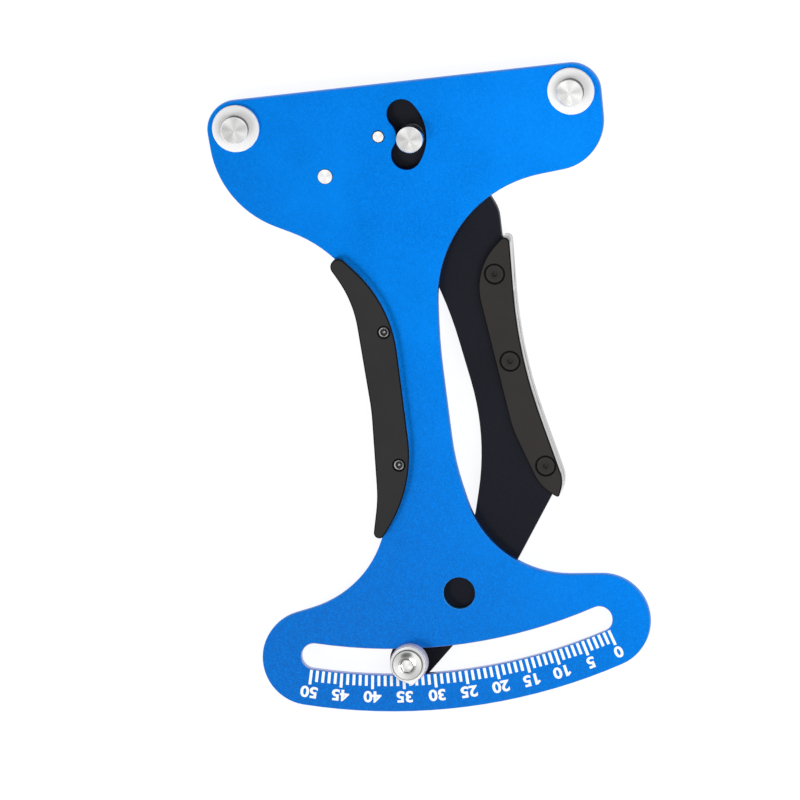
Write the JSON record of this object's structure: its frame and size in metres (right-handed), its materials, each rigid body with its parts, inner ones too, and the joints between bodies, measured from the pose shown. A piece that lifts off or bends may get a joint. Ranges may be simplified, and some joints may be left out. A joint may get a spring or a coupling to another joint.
{
  "type": "spoke tension meter",
  "caption": "Hand-held wheel spoke tension meter: a flat front plate with fixed posts and a curved scale, and a sprung hand lever that carries the middle post and the pointer.",
  "frame": {"origin": "on the bench, under the middle of the whole tool as it lies on its back", "axes": "+Z out of the face with the scale, +X along the line of the fixed posts, +Y towards the posts' end"},
  "size_m": [0.1442, 0.2196, 0.0187],
  "materials": {
    "blue_anodised": "bead-blasted and anodised blue, white printed scale",
    "black_anodised": "bead-blasted and anodised black",
    "grip": "fine-textured dark grey moulding",
    "dark_steel": "blackened steel screws",
    "satin_aluminium": "turned satin aluminium",
    "bright_steel": "turned and polished steel",
    "bronze": "plain bearing bronze",
    "nylon": "natural nylon"
  },
  "bodies": {
    "frame": {"front_plate": "blue_anodised", "left_post_flange": "satin_aluminium", "right_post_flange": "satin_aluminium", "left_post": "bright_steel", "right_post": "bright_steel", "fixed_post_screws": "bright_steel", "pivot_pin": "bright_steel", "pivot_spacer": "nylon", "pivot_rear_washer": "bright_steel", "pivot_clip": "bright_steel", "spring_anchor_pin": "bright_steel", "return_spring": "bright_steel", "left_grip_front": "grip", "left_grip_rear": "grip", "left_grip_screws": "dark_steel", "left_grip_nuts": "bright_steel"},
    "lever": {"lever_plate": "black_anodised", "pivot_bush": "bronze", "middle_post": "bright_steel", "middle_post_screw": "bright_steel", "lever_spring_pin": "bright_steel", "right_grip_front": "grip", "right_grip_rear": "grip", "right_grip_screws": "dark_steel", "right_grip_nuts": "bright_steel", "guide_sleeve": "nylon", "pointer_washer": "satin_aluminium", "pointer_disc": "satin_aluminium", "pointer_screw": "bright_steel", "pointer_nut": "bright_steel"}
  },
  "joints": [
    {"name": "lever_pivot", "type": "hinge", "parent": "frame", "child": "lever", "pos_m": [-0.00698, 0.0918, 0.0048], "axis": [0, 0, 1], "range_deg": [-10.4, 21.2], "stiffness_Nm_per_rad": 1.6, "springref_deg": 26.36, "deforming": ["return_spring"]}
  ]
}
